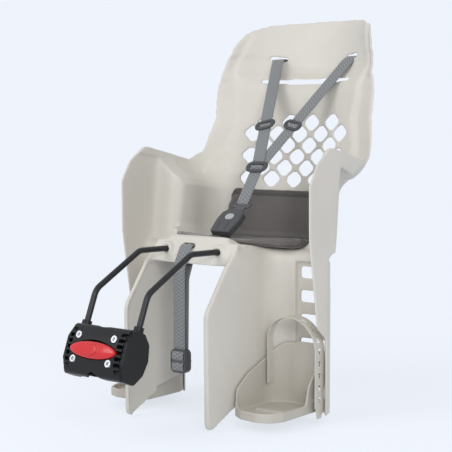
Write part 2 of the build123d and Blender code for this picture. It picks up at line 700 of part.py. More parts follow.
# Buckle
with BuildPart() as buckle_body:
    with BuildSketch(buckle_plane.offset(-13)):
        with BuildLine():
            Polyline((-20, -26), (20, -26), (25, 6), (23, 24), (13, 34), (-13, 34), (-23, 24), (-25, 6),
                     close=True)
        make_face()
        fillet(vertices(), 4)
    extrude(amount=13)
    chamfer(buckle_body.faces().sort_by(Axis.Y)[0].edges(), 1.8)
    with BuildSketch(buckle_plane.offset(-9.4)):
        with Locations((0, 30)):
            Rectangle(23, 40)
    extrude(amount=3.4, mode=Mode.SUBTRACT)
    with BuildSketch(buckle_plane.offset(-9)):
        with Locations((0, 12)):
            SlotOverall(18.8, 15.8)
    extrude(amount=20, mode=Mode.SUBTRACT)
    with BuildSketch(buckle_plane.offset(-1.5)):
        with Locations((9, -12), (-9, -12)):
            Rectangle(1.6, 20)
    extrude(amount=5, mode=Mode.SUBTRACT)
buckle_body.part.label = "buckle_body"
export_step(buckle_body.part, "parts/buckle_body.step")

with BuildPart() as buckle_button:
    with BuildSketch(buckle_plane.offset(-3.8)):
        with Locations((0, 12)):
            SlotOverall(18, 15)
    extrude(amount=5)
    chamfer(buckle_button.faces().sort_by(Axis.Y)[0].edges(), 1)
buckle_button.part.label = "buckle_button"
export_step(buckle_button.part, "parts/buckle_button.step")

with BuildPart() as buckle_tongue:
    with BuildSketch(buckle_plane.offset(-9)):
        with Locations((0, 37)):
            Rectangle(21, 30)
        with Locations((0, 52)):
            RectangleRounded(36, 15, 3)
        with Locations((0, 53)):
            Rectangle(28, 5, mode=Mode.SUBTRACT)
    extrude(amount=2.6)
buckle_tongue.part.label = "buckle_tongue"
export_step(buckle_tongue.part, "parts/buckle_tongue.step")

with BuildPart() as crotch_strap:
    with Locations((0, crotch_y, 151.6)):
        Box(web_wide, web_thick, 33.2)
crotch_strap.part.label = "crotch_strap"
export_step(crotch_strap.part, "parts/crotch_strap.step")

with BuildPart() as crotch_anchor:
    with BuildSketch(tub_plane.offset(-wall - 5.3)):
        with Locations((0, crotch_s - 4.4)):
            Rectangle(40, 8)
    extrude(amount=5)
crotch_anchor.part.label = "crotch_anchor"
export_step(crotch_anchor.part, "parts/crotch_anchor.step")

# Safety strap that goes round the bike frame
with BuildPart() as safety_strap:
    with BuildSketch(Plane.YZ.offset(safety_x - web_wide / 2)):
        with BuildLine():
            Polyline((191, -58), (191, 110), (193.5, 121), (207.5, 147), (213, 152), (220, 152), (223, 146),
                     (216, 130), (212, 116), (203.5, 96), (200.5, -58), close=True)
        make_face()
        offset(amount=-web_thick, mode=Mode.SUBTRACT)
    extrude(amount=web_wide)
safety_strap.part.label = "safety_strap"
export_step(safety_strap.part, "parts/safety_strap.step")

with BuildPart() as safety_buckle:
    with BuildSketch(Plane.XY.offset(-61)):
        with Locations((safety_x, 195.7)):
            RectangleRounded(33, 17, 4)
            Rectangle(26.4, 11.4, mode=Mode.SUBTRACT)
    extrude(amount=25)
    with BuildSketch(Plane.XZ.offset(-193)):
        with Locations((safety_x, -43.5), (safety_x, -54)):
            Rectangle(23, 7)
    extrude(amount=20, mode=Mode.SUBTRACT)
safety_buckle.part.label = "safety_buckle"
export_step(safety_buckle.part, "parts/safety_buckle.step")
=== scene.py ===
from math import cos, exp, pi, radians, sin

import bmesh
import bpy
from mathutils import Matrix, Vector
from mathutils.bvhtree import BVHTree


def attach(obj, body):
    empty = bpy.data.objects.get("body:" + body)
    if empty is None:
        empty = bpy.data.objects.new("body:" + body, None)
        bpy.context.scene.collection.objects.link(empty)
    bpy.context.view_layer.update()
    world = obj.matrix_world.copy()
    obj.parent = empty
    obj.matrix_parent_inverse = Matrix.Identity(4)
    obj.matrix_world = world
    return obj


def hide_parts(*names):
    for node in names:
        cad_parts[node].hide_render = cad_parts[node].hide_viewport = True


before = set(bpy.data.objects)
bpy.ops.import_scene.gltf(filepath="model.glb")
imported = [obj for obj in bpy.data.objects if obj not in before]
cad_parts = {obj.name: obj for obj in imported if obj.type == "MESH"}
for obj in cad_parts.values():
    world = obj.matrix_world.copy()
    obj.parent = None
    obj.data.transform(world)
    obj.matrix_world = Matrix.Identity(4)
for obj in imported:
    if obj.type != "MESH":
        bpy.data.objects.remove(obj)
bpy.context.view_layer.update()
scene = bpy.context.scene
scene.view_settings.view_transform = "Standard"
print("frame loaded", len(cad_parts), "nodes")

# camera where the photo was taken from
cameraSpot = {
    "place": (1.2744, -1.3162, 0.3354),
    "turn": (85.63, 0.0, 38.26),
    "lens": 95.58,
}
cameraData = bpy.data.cameras.new("photoCamera")
cameraData.lens = cameraSpot["lens"]
cameraData.sensor_width = 36.0
cameraData.clip_start = 0.01
photoCamera = bpy.data.objects.new("photoCamera", cameraData)
photoCamera.location = cameraSpot["place"]
photoCamera.rotation_euler = [radians(a) for a in cameraSpot["turn"]]
scene.collection.objects.link(photoCamera)
scene.camera = photoCamera

# the seat's own directions, the same values as in the CAD source
seat = {
    "panY": 0.219,
    "panZ": 0.158,
    "panTilt": 7.0,
    "tubeTilt": 22.5,
}
panSin = sin(radians(seat["panTilt"]))
panCos = cos(radians(seat["panTilt"]))
panAlong = Vector((0, panCos, -panSin))
panUp = Vector((0, panSin, panCos))
panHome = Vector((0, seat["panY"], seat["panZ"]))
tubeUp = Vector((0, sin(radians(seat["tubeTilt"])), cos(radians(seat["tubeTilt"]))))
tubeFront = Vector((0, -tubeUp.z, tubeUp.y))


def onPan(x, s, h):
    return panHome + Vector((x, 0, 0)) + panAlong * s + panUp * h


def onBlock(x, u, n):
    return Vector((x, 0, 0)) + tubeUp * u + tubeFront * n


# node helpers
def newTree(name):
    mat = bpy.data.materials.new(name)
    mat.use_nodes = True
    tree = mat.node_tree
    return mat, tree, tree.nodes["Principled BSDF"]


def addNode(tree, kind, **values):
    node = tree.nodes.new(kind)
    for key, value in values.items():
        if key in node.inputs:
            node.inputs[key].default_value = value
        else:
            setattr(node, key, value)
    return node


def mathNode(tree, operation, first, second=None):
    node = tree.nodes.new("ShaderNodeMath")
    node.operation = operation
    for index, value in enumerate((first, second)):
        if value is None:
            continue
        if isinstance(value, (int, float)):
            node.inputs[index].default_value = value
        else:
            tree.links.new(value, node.inputs[index])
    return node.outputs[0]


def mixColour(tree, factor, first, second):
    node = tree.nodes.new("ShaderNodeMix")
    node.data_type = "RGBA"
    for index, value in ((0, factor), (6, first), (7, second)):
        if isinstance(value, bpy.types.NodeSocket):
            tree.links.new(value, node.inputs[index])
        else:
            node.inputs[index].default_value = value
    return node.outputs[2]


def rgb(r, g, b):
    return (r, g, b, 1.0)


def socket(tree, name, kind, way="INPUT", value=None):
    made = tree.interface.new_socket(name=name, in_out=way, socket_type=kind)
    if value is not None:
        made.default_value = value
    return made


# moulded grain: blotches in the colour, a fine spark-eroded texture and slightly polished patches
def makeMouldGrain():
    tree = bpy.data.node_groups.new("mouldGrain", "ShaderNodeTree")
    socket(tree, "Colour", "NodeSocketColor", value=rgb(0.5, 0.5, 0.5))
    socket(tree, "Shade", "NodeSocketColor", value=rgb(0.4, 0.4, 0.4))
    socket(tree, "Grain Scale", "NodeSocketFloat", value=900.0)
    socket(tree, "Rough Low", "NodeSocketFloat", value=0.4)
    socket(tree, "Rough High", "NodeSocketFloat", value=0.55)
    socket(tree, "Colour", "NodeSocketColor", "OUTPUT")
    socket(tree, "Roughness", "NodeSocketFloat", "OUTPUT")
    socket(tree, "Height", "NodeSocketFloat", "OUTPUT")
    inside = tree.nodes.new("NodeGroupInput")
    outside = tree.nodes.new("NodeGroupOutput")
    place = tree.nodes.new("ShaderNodeTexCoord")
    grain = addNode(tree, "ShaderNodeTexNoise", Detail=2.0)
    blotch = addNode(tree, "ShaderNodeTexNoise", Scale=9.0, Detail=3.0)
    for texture in (grain, blotch):
        tree.links.new(place.outputs["Object"], texture.inputs["Vector"])
    tree.links.new(inside.outputs["Grain Scale"], grain.inputs["Scale"])
    soft = addNode(tree, "ShaderNodeMapRange")
    soft.inputs["From Min"].default_value = 0.35
    soft.inputs["From Max"].default_value = 0.7
    tree.links.new(blotch.outputs["Fac"], soft.inputs["Value"])
    colour = mixColour(tree, soft.outputs["Result"], inside.outputs["Colour"], inside.outputs["Shade"])
    tree.links.new(colour, outside.inputs["Colour"])
    rough = addNode(tree, "ShaderNodeMapRange")
    tree.links.new(blotch.outputs["Fac"], rough.inputs["Value"])
    tree.links.new(inside.outputs["Rough Low"], rough.inputs["To Min"])
    tree.links.new(inside.outputs["Rough High"], rough.inputs["To Max"])
    tree.links.new(rough.outputs["Result"], outside.inputs["Roughness"])
    tree.links.new(grain.outputs["Fac"], outside.inputs["Height"])
    return tree


# painted edge highlight: a mask on sharp outer edges, broken up by noise, that lightens them
def makePaintedEdgeLight():
    tree = bpy.data.node_groups.new("paintedEdgeLight", "ShaderNodeTree")
    socket(tree, "Amount", "NodeSocketFloat", value=0.5)
    socket(tree, "Mask", "NodeSocketFloat", "OUTPUT")
    inside = tree.nodes.new("NodeGroupInput")
    outside = tree.nodes.new("NodeGroupOutput")
    shape = tree.nodes.new("ShaderNodeNewGeometry")
    place = tree.nodes.new("ShaderNodeTexCoord")
    patch = addNode(tree, "ShaderNodeTexNoise", Scale=60.0, Detail=4.0)
    tree.links.new(place.outputs["Object"], patch.inputs["Vector"])
    edge = addNode(tree, "ShaderNodeMapRange")
    edge.inputs["From Min"].default_value = 0.52
    edge.inputs["From Max"].default_value = 0.62
    tree.links.new(shape.outputs["Pointiness"], edge.inputs["Value"])
    broken = mathNode(tree, "MULTIPLY", edge.outputs["Result"], patch.outputs["Fac"])
    mask = mathNode(tree, "MULTIPLY", broken, inside.outputs["Amount"])
    tree.links.new(mask, outside.inputs["Mask"])
    return tree


# herringbone weave on a strap's own UV map, in metres: u across, v along
def makeWebWeave():
    tree = bpy.data.node_groups.new("webWeave", "ShaderNodeTree")
    socket(tree, "Light", "NodeSocketColor", value=rgb(0.3, 0.3, 0.3))
    socket(tree, "Dark", "NodeSocketColor", value=rgb(0.1, 0.1, 0.1))
    socket(tree, "Rib", "NodeSocketFloat", value=0.00625)
    socket(tree, "Pitch", "NodeSocketFloat", value=0.0064)
    socket(tree, "Colour", "NodeSocketColor", "OUTPUT")
    socket(tree, "Height", "NodeSocketFloat", "OUTPUT")
    inside = tree.nodes.new("NodeGroupInput")
    outside = tree.nodes.new("NodeGroupOutput")
    flat = addNode(tree, "ShaderNodeUVMap", uv_map="strap")
    parts = tree.nodes.new("ShaderNodeSeparateXYZ")
    tree.links.new(flat.outputs["UV"], parts.inputs["Vector"])
    bone = mathNode(tree, "PINGPONG", parts.outputs["X"], inside.outputs["Rib"])
    slanted = mathNode(tree, "ADD", parts.outputs["Y"], bone)
    turns = mathNode(tree, "DIVIDE", slanted, inside.outputs["Pitch"])
    wave = mathNode(tree, "SINE", mathNode(tree, "MULTIPLY", turns, 2 * pi))
    lift = mathNode(tree, "ADD", mathNode(tree, "MULTIPLY", wave, 0.5), 0.5)
    fluff = addNode(tree, "ShaderNodeTexNoise", Scale=700.0, Detail=3.0)
    place = tree.nodes.new("ShaderNodeTexCoord")
    tree.links.new(place.outputs["Object"], fluff.inputs["Vector"])
    worn = mathNode(tree, "ADD", mathNode(tree, "MULTIPLY", lift, 0.75),
                    mathNode(tree, "MULTIPLY", fluff.outputs["Fac"], 0.3))
    colour = mixColour(tree, worn, inside.outputs["Dark"], inside.outputs["Light"])
    tree.links.new(colour, outside.inputs["Colour"])
    tree.links.new(worn, outside.inputs["Height"])
    return tree


mouldGrain = makeMouldGrain()
paintedEdgeLight = makePaintedEdgeLight()
webWeave = makeWebWeave()


def groupNode(tree, group, **values):
    node = tree.nodes.new("ShaderNodeGroup")
    node.node_tree = group
    for key, value in values.items():
        node.inputs[key].default_value = value
    return node


def bumpNode(tree, shader, height, strength, distance):
    bump = addNode(tree, "ShaderNodeBump", Strength=strength, Distance=distance)
    tree.links.new(height, bump.inputs["Height"])
    tree.links.new(bump.outputs["Normal"], shader.inputs["Normal"])
    return bump


def grainNode(tree, look):
    return groupNode(tree, mouldGrain, **{
        "Colour": rgb(*look["colour"]), "Shade": rgb(*look["shade"]), "Grain Scale": look["grain"],
        "Rough Low": look["rough"][0], "Rough High": look["rough"][1]})


mouldDepth = 0.0004  # depth of the moulded grain


def mouldedPlastic(name, look):
    mat, tree, shader = newTree(name)
    grain = grainNode(tree, look)
    edgeLight = groupNode(tree, paintedEdgeLight, Amount=look["edgeLight"])
    # sharp outer edges take the lighter edge colour: a painted highlight
    colour = mixColour(tree, edgeLight.outputs["Mask"], grain.outputs["Colour"], rgb(*look["edge"]))
    tree.links.new(colour, shader.inputs["Base Color"])
    tree.links.new(grain.outputs["Roughness"], shader.inputs["Roughness"])
    bumpNode(tree, shader, grain.outputs["Height"], look["bump"], mouldDepth)
    shader.inputs["Specular IOR Level"].default_value = look.get("specular", 0.5)
    return mat


# each look's edge colour and its amount paint a highlight on sharp outer edges
creamShell = mouldedPlastic("creamShell", {
    "colour": (0.67, 0.64, 0.58), "shade": (0.63, 0.6, 0.54), "edge": (0.74, 0.72, 0.66),
    "grain": 700.0, "rough": (0.4, 0.52), "edgeLight": 0.4, "bump": 0.12, "specular": 0.3})
creamFoot = mouldedPlastic("creamFoot", {
    "colour": (0.56, 0.53, 0.47), "shade": (0.51, 0.48, 0.42), "edge": (0.66, 0.63, 0.57),
    "grain": 800.0, "rough": (0.4, 0.54), "edgeLight": 0.5, "bump": 0.15, "specular": 0.3})
creamBand = mouldedPlastic("creamBand", {
    "colour": (0.62, 0.59, 0.53), "shade": (0.58, 0.55, 0.49), "edge": (0.7, 0.68, 0.62),
    "grain": 900.0, "rough": (0.38, 0.5), "edgeLight": 0.4, "bump": 0.08, "specular": 0.3})
blackNylon = mouldedPlastic("blackNylon", {
    "colour": (0.009, 0.009, 0.0095), "shade": (0.014, 0.014, 0.0145), "edge": (0.06, 0.06, 0.062),
    "grain": 1100.0, "rough": (0.3, 0.44), "edgeLight": 0.9, "bump": 0.2, "specular": 0.22})
darkFitting = mouldedPlastic("darkFitting", {
    "colour": (0.055, 0.057, 0.06), "shade": (0.075, 0.077, 0.08), "edge": (0.16, 0.165, 0.17),
    "grain": 1200.0, "rough": (0.36, 0.5), "edgeLight": 0.8, "bump": 0.15, "specular": 0.3})
greyPress = mouldedPlastic("greyPress", {
    "colour": (0.42, 0.43, 0.44), "shade": (0.36, 0.37, 0.38), "edge": (0.55, 0.56, 0.57),
    "grain": 1200.0, "rough": (0.3, 0.42), "edgeLight": 0.5, "bump": 0.1})


# grain alone, without the painted edge highlight; what is the same all over sits on the shader's own sockets
def grainFinish(name, look):
    mat, tree, shader = newTree(name)
    grain = grainNode(tree, look)
    tree.links.new(grain.outputs["Colour"], shader.inputs["Base Color"])
    tree.links.new(grain.outputs["Roughness"], shader.inputs["Roughness"])
    bumpNode(tree, shader, grain.outputs["Height"], *look["bump"])
    for key, value in look.get("sockets", {}).items():
        shader.inputs[key].default_value = value
    return mat


def makeWebbing():
    mat, tree, shader = newTree("greyWebbing")
    weave = groupNode(tree, webWeave, Light=rgb(0.285, 0.295, 0.3), Dark=rgb(0.115, 0.121, 0.125))
    tree.links.new(weave.outputs["Colour"], shader.inputs["Base Color"])
    bumpNode(tree, shader, weave.outputs["Height"], 0.6, 0.0006)
    shader.inputs["Roughness"].default_value = 0.78
    shader.inputs["Sheen Weight"].default_value = 0.25
    shader.inputs["Sheen Roughness"].default_value = 0.5
    return mat


def makePadCloth():
    mat, tree, shader = newTree("padCloth")
    place = tree.nodes.new("ShaderNodeTexCoord")
    knit = addNode(tree, "ShaderNodeTexVoronoi", Scale=650.0)
    mottle = addNode(tree, "ShaderNodeTexNoise", Scale=26.0, Detail=5.0)
    for texture in (knit, mottle):
        tree.links.new(place.outputs["Object"], texture.inputs["Vector"])
    ground = mixColour(tree, mottle.outputs["Fac"], rgb(0.112, 0.102, 0.097), rgb(0.162, 0.15, 0.143))
    tiny = mixColour(tree, mathNode(tree, "MULTIPLY", knit.outputs["Distance"], 0.5), ground,
                     rgb(0.085, 0.077, 0.073))
    # darker where the binding runs, and painted shade in the seams' grooves
    bindingAndSeamShade = addNode(tree, "ShaderNodeAttribute", attribute_name="bindingAndSeamShade")
    colour = mixColour(tree, mathNode(tree, "MULTIPLY", bindingAndSeamShade.outputs["Fac"], 0.7), tiny,
                       rgb(0.066, 0.06, 0.058))
    tree.links.new(colour, shader.inputs["Base Color"])
    bumpNode(tree, shader, knit.outputs["Distance"], 0.35, 0.0005)
    shader.inputs["Roughness"].default_value = 0.82
    shader.inputs["Sheen Weight"].default_value = 0.35
    shader.inputs["Sheen Roughness"].default_value = 0.45
    return mat


def makeThread():
    mat, tree, shader = newTree("padThread")
    place = tree.nodes.new("ShaderNodeTexCoord")
    twist = addNode(tree, "ShaderNodeTexNoise", Scale=1800.0, Detail=2.0)
    tree.links.new(place.outputs["Object"], twist.inputs["Vector"])
    colour = mixColour(tree, twist.outputs["Fac"], rgb(0.05, 0.047, 0.045), rgb(0.13, 0.12, 0.115))
    tree.links.new(colour, shader.inputs["Base Color"])
    bumpNode(tree, shader, twist.outputs["Fac"], 0.4, 0.0002)
    shader.inputs["Roughness"].default_value = 0.7
    return mat


redGloss = grainFinish("redGloss", {
    "colour": (0.66, 0.022, 0.026), "shade": (0.56, 0.016, 0.02), "grain": 300.0, "rough": (0.12, 0.22),
    "bump": (0.04, 0.0003),
    "sockets": {"Specular IOR Level": 0.35, "Coat Weight": 0.2, "Coat Roughness": 0.06}})
rodPaint = grainFinish("rodPaint", {
    "colour": (0.014, 0.014, 0.015), "shade": (0.022, 0.022, 0.023), "grain": 1500.0, "rough": (0.24, 0.36),
    "bump": (0.12, 0.0003), "sockets": {"Specular IOR Level": 0.3}})
zincSteel = grainFinish("zincSteel", {
    "colour": (0.72, 0.73, 0.75), "shade": (0.6, 0.61, 0.63), "grain": 2200.0, "rough": (0.22, 0.42),
    "bump": (0.1, 0.0002), "sockets": {"Metallic": 0.85}})
gripRubber = grainFinish("gripRubber", {
    "colour": (0.016, 0.016, 0.016), "shade": (0.026, 0.026, 0.025), "grain": 1400.0, "rough": (0.7, 0.9),
    "bump": (0.3, 0.0005)})
greyWebbing = makeWebbing()
padCloth = makePadCloth()
padThread = makeThread()
print("materials made")


# mesh helpers
def mergedCopy(node):
    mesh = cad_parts[node].data.copy()
    work = bmesh.new()
    work.from_mesh(mesh)
    bmesh.ops.remove_doubles(work, verts=work.verts, dist=2e-6)
    work.to_mesh(mesh)
    work.free()
    return mesh


def linked(name, mesh):
    obj = bpy.data.objects.new(name, mesh)
    scene.collection.objects.link(obj)
    return obj


def plainMesh(obj):
    graph = bpy.context.evaluated_depsgraph_get()
    mesh = bpy.data.meshes.new_from_object(obj.evaluated_get(graph))
    obj.modifiers.clear()
    old = obj.data
    obj.data = mesh
    bpy.data.meshes.remove(old)
    return obj


def dress(obj, mat, body, slot, *nodes):
    obj.data.materials.clear()
    obj.data.materials.append(mat)
    for face in obj.data.polygons:
        face.use_smooth = True
        face.material_index = 0
    if nodes:
        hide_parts(*nodes)
    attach(obj, body)
    return obj


def ease(t):
    t = min(1.0, max(0.0, t))
    return t * t * (3 - 2 * t)


# eased from 0 to 1 over a run; a run below zero falls instead
def fade(value, start, run):
    return ease((value - start) / run)


def signOf(value):
    return 1 if value > 0 else -1


def turns(count, shift=0.0):
    return [2 * pi * (k + shift) / count for k in range(count)]


def facesOut(mesh, merge=0.0):
    work = bmesh.new()
    work.from_mesh(mesh)
    if merge:
        bmesh.ops.remove_doubles(work, verts=work.verts, dist=merge)
    bmesh.ops.recalc_face_normals(work, faces=work.faces)
    work.to_mesh(mesh)
    work.free()


# faces between rings of vertices; an open row of rings gets a cap at each end
def skinRings(work, rings, closed=False):
    pairs = list(zip(rings, rings[1:]))
    if closed:
        pairs.append((rings[-1], rings[0]))
    count = len(rings[0])
    for lower, upper in pairs:
        for j in range(count):
            i = (j + 1) % count
            work.faces.new((lower[j], lower[i], upper[i], upper[j]))
    if not closed:
        work.faces.new(rings[0][::-1])
        work.faces.new(rings[-1])


def finishedMesh(work, name):
    bmesh.ops.recalc_face_normals(work, faces=work.faces)
    mesh = bpy.data.meshes.new(name)
    work.to_mesh(mesh)
    work.free()
    return linked(name, mesh)


def smoothed(obj, rounds, group=""):
    smooth = obj.modifiers.new("round", "SMOOTH")
    smooth.factor = 0.5
    smooth.iterations = rounds
    smooth.vertex_group = group
    return plainMesh(obj)


def skinned(obj, voxel, rounds):
    skin = obj.modifiers.new("skin", "REMESH")
    skin.mode = "VOXEL"
    skin.voxel_size = voxel
    return smoothed(obj, rounds)


def refined(obj):
    fine = obj.modifiers.new("fine", "SUBSURF")
    fine.levels = 1
    fine.render_levels = 1
    return plainMesh(obj)


# a straight prism over an outline, used to cut with
def prism(name, outline, place, low, high):
    count = len(outline)
    verts = [place(a, b, low) for a, b in outline] + [place(a, b, high) for a, b in outline]
    faces = [tuple(range(count)), tuple(range(2 * count - 1, count - 1, -1))]
    for k in range(count):
        i = (k + 1) % count
        faces.append((k, k + count, i + count, i))
    mesh = bpy.data.meshes.new(name)
    mesh.from_pydata(verts, [], faces)
    facesOut(mesh)
    return linked(name, mesh)


def cutAway(obj, cutter):
    cut = obj.modifiers.new("cut", "BOOLEAN")
    cut.operation = "DIFFERENCE"
    cut.solver = "EXACT"
    cut.object = cutter
    plainMesh(obj)
    bpy.data.objects.remove(cutter)


# the bucket's form where the photo shows it softer than the CAD solid: the edge of each wing runs in an even
# curve up to the head, and the corners at the hips are rounder
bucket = {
    "wing": ((0.37, 0.0), (0.40, -0.002), (0.421, -0.005), (0.44, 0.001), (0.458, 0.0095), (0.475, 0.006),
             (0.492, 0.0005), (0.52, -0.004), (0.56, -0.004)),
    "within": (0.085, 0.33, 0.1),  # least |x|, y and z that are moved
    "wingSide": (0.09, 0.05),  # the pairs are start and run of a fade
    "hip": 0.016,
    "hipWay": (0.785, 0.619),
    "hipRise": (0.1, 0.04),
    "hipFall": (0.315, -0.06),
    "hipSide": (0.085, 0.05),
    "hipBack": (0.33, 0.07),
    "headCut": ((0.505, 0.47), (0.516, 0.4975), (0.526, 0.515), (0.538, 0.528), (0.553, 0.5375), (0.572, 0.544),
                (0.6, 0.5478), (0.64, 0.5495), (0.73, 0.55), (0.73, 0.62), (0.40, 0.62), (0.40, 0.47)),
    "barEnd": ((0.064, -0.05), (0.11, -0.05), (0.11, 0.036), (0.064, 0.036)),
    "barDeep": (0.0004, 0.03),
}


def wingShift(z):
    rows = bucket["wing"]
    for (lowZ, lowShift), (highZ, highShift) in zip(rows, rows[1:]):
        if lowZ <= z < highZ:
            return lowShift + (highShift - lowShift) * ease((z - lowZ) / (highZ - lowZ))
    return 0.0 if z < rows[0][0] else rows[-1][1]


def softBucket(mesh):
    for vert in mesh.vertices:
        x, y, z = vert.co
        wide = abs(x)
        if any(c < least for c, least in zip((wide, y, z), bucket["within"])):
            continue
        move = wingShift(z) * fade(wide, *bucket["wingSide"])
        hip = fade(z, *bucket["hipRise"]) * fade(z, *bucket["hipFall"])
        hip *= fade(wide, *bucket["hipSide"]) * fade(y, *bucket["hipBack"]) * bucket["hip"]
        vert.co.x += signOf(x) * (move - hip * bucket["hipWay"][0])
        vert.co.y -= hip * bucket["hipWay"][1]


def acrossSeat(y, z, x):
    return Vector((x, y, z))


softMargin = 0.006  # over this depth a soft box takes hold


# a moulded piece: the CAD solid with its edges rounded off as a mould leaves them
def moulded(name, node, look):
    mesh = mergedCopy(node)
    for key in [a.name for a in mesh.attributes if a.name.startswith("custom_normal")]:
        mesh.attributes.remove(mesh.attributes[key])
    obj = linked(name, mesh)
    for outline, place, low, high in look.get("cuts", ()):
        cutAway(obj, prism("cutter", outline, place, low, high))
    skinned(obj, look["voxel"], look["rounds"])
    for low, high, share, rounds in look.get("soft", ()):
        group = obj.vertex_groups.new(name="soft")
        for vert in obj.data.vertices:
            side = (abs(vert.co.x), vert.co.y, vert.co.z)
            depth = min(min(c - a, b - c) for a, b, c in zip(low, high, side))
            if depth > 0:
                group.add([vert.index], min(1.0, depth / softMargin) * share, "REPLACE")
        smoothed(obj, rounds, group.name)
        obj.vertex_groups.clear()
    if "reshape" in look:
        look["reshape"](obj.data)
    count = len(obj.data.polygons) * 2
    if count > look["most"]:
        thin = obj.modifiers.new("thin", "DECIMATE")
        thin.ratio = look["most"] / count
        plainMesh(obj)
    print(name, len(obj.data.polygons), "faces")
    return dress(obj, look["mat"], look["body"], look["slot"], node)


# the red press: an oval dome with a raised middle, in a pocket of the same form
press = {
    "dome": (0.0472, 0.0132),
    "pocket": (0.0481, 0.0141),
    "low": -0.0025,
    "sides": 72,
    "voxel": 0.0005,
    "rounds": 3,
    "pocketDeep": (0.021, 0.05),
    "middle": (0.0135, 0.0092),
    "levels": ((1.0, 0.025), (1.0, 0.0292), (0.988, 0.0304), (0.955, 0.0313), (0.89, 0.0321), (0.77, 0.0328),
               (0.6, 0.0333), (0.4, 0.0336), (0.2, 0.0337)),
    "rise": ((1.0, 0.031), (1.0, 0.035), (0.975, 0.0356), (0.92, 0.0359), (0.5, 0.0361)),
}


def ellipse(halves, x, u, share=1.0):
    return [(x + halves[0] * share * cos(angle), u + halves[1] * share * sin(angle))
            for angle in turns(press["sides"])]


mouldings = {
    "shellMoulding": ("seat_shell", {
        "voxel": 0.002, "rounds": 10, "most": 190000, "mat": creamShell, "body": "seat", "slot": "shell",
        "cuts": ((bucket["headCut"], acrossSeat, -0.25, 0.25),
                 (bucket["barEnd"], onPan, *bucket["barDeep"]),
                 ([(-x, s) for x, s in bucket["barEnd"]], onPan, *bucket["barDeep"])),
        "reshape": softBucket,
        "soft": (((0.05, 0.19, 0.112), (0.1, 0.262, 0.175), 1.0, 40),
                 ((0.07, 0.12, -0.15), (0.1, 0.205, 0.125), 0.7, 14),
                 ((0.17, 0.28, 0.08), (0.215, 0.37, 0.16), 1.0, 14),
                 ((0.12, 0.43, 0.3), (0.215, 0.62, 0.56), 1.0, 26))}),
    "leftTray": ("left_footrest", {
        "voxel": 0.0011, "rounds": 6, "most": 90000, "mat": creamFoot, "body": "left_foot", "slot": "foot"}),
    "rightTray": ("right_footrest", {
        "voxel": 0.0011, "rounds": 6, "most": 90000, "mat": creamFoot, "body": "right_foot", "slot": "foot"}),
    "leftBand": ("left_foot_strap", {
        "voxel": 0.0005, "rounds": 3, "most": 90000, "mat": creamBand, "body": "left_foot", "slot": "foot_band"}),
    "rightBand": ("right_foot_strap", {
        "voxel": 0.0005, "rounds": 3, "most": 90000, "mat": creamBand, "body": "right_foot", "slot": "foot_band"}),
    "blockHousing": ("clamp_housing", {
        "voxel": 0.0007, "rounds": 4, "most": 120000, "mat": blackNylon, "body": "seat", "slot": "block",
        "cuts": ((ellipse(press["pocket"], 0.0, press["low"]), onBlock, *press["pocketDeep"]),)}),
    "blockJaw": ("clamp_jaw", {
        "voxel": 0.0009, "rounds": 4, "most": 60000, "mat": blackNylon, "body": "rear_jaw", "slot": "block"}),
    "bentRod": ("support_rod", {
        "voxel": 0.0009, "rounds": 6, "most": 80000, "mat": rodPaint, "body": "seat", "slot": "rod"}),
    "buckleShield": ("buckle_body", {
        "voxel": 0.0005, "rounds": 4, "most": 60000, "mat": darkFitting, "body": "seat", "slot": "fitting"}),
    "bucklePress": ("buckle_button", {
        "voxel": 0.0003, "rounds": 5, "most": 20000, "mat": greyPress, "body": "buckle_press", "slot": "press"}),
}
for pieceName, (nodeName, look) in mouldings.items():
    moulded(pieceName, nodeName, look)


def makePress():
    work = bmesh.new()
    for halves, levels in ((press["dome"], press["levels"]), (press["middle"], press["rise"])):
        rings = []
        for share, n in levels:
            outline = ellipse(halves, 0.0, press["low"], share)
            rings.append([work.verts.new(onBlock(x, u, n)) for x, u in outline])
        skinRings(work, rings)
    obj = skinned(finishedMesh(work, "redPress"), press["voxel"], press["rounds"])
    return dress(obj, redGloss, "release", "red", "release_button")


makePress()

# solids that keep their CAD form and only get a finish
finishes = {
    "clamp_bolts": zincSteel,
    "clamp_nuts": zincSteel,
    "rod_screws": zincSteel,
    "left_latch_bar": zincSteel,
    "right_latch_bar": zincSteel,
    "buckle_tongue": darkFitting,
    "front_grip": gripRubber,
    "rear_grip": gripRubber,
    "left_strap_anchor": darkFitting,
    "right_strap_anchor": darkFitting,
    "crotch_anchor": darkFitting,
}
for nodeName, mat in finishes.items():
    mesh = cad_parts[nodeName].data
    mesh.materials.clear()
    mesh.materials.append(mat)
print("finishes on the CAD solids")

# straps: closed strips with a woven face, their UV map in metres along and across the web
harness = {
    "home": Vector((0, 0.3917, 0.275)),
    "reach": Vector((0, 0.1763, 0.20295)),
    "slotX": 0.082,
    "slotH": 0.361,
    "loop": Vector((0, 0.34702, 0.21263)),
    "sliderV": 0.099,
    "half": 0.0125,
    "thick": 0.0016,
    "section": ((-1, 0), (-0.96, 0.5), (-0.5, 0.5), (0, 0.5), (0.5, 0.5), (0.96, 0.5),
                (1, 0), (0.96, -0.5), (0.5, -0.5), (0, -0.5), (-0.5, -0.5), (-0.96, -0.5)),
    "crown": 0.0013,
    "dip": 0.0007,
    "dipAway": 0.008,
    "waveWide": 0.0032,
    "chestSteps": 19,
    "chestPast": 0.001,
    "chestBend": (0.003, 0.006, 0.007),  # depth, start before the buckle, run
    "start": 0.002,
    "spread": 0.012,  # the strap takes its slanted width over this run
    "slopeSteps": 64,
    "slopeEnd": 0.014,
    "cornerEnd": 0.003,
    "cornerSteps": 6,
    "slotIn": 0.3125,
    "slotOut": 0.3278,
}
slopeRun = harness["reach"].length
slopeUp = harness["reach"].normalized()
slopeOut = Vector((0, -slopeUp.z, slopeUp.y))
slant = harness["slotX"] / slopeRun


def onSlope(x, v, n):
    return harness["home"] + Vector((x, 0, 0)) + slopeUp * v + slopeOut * n


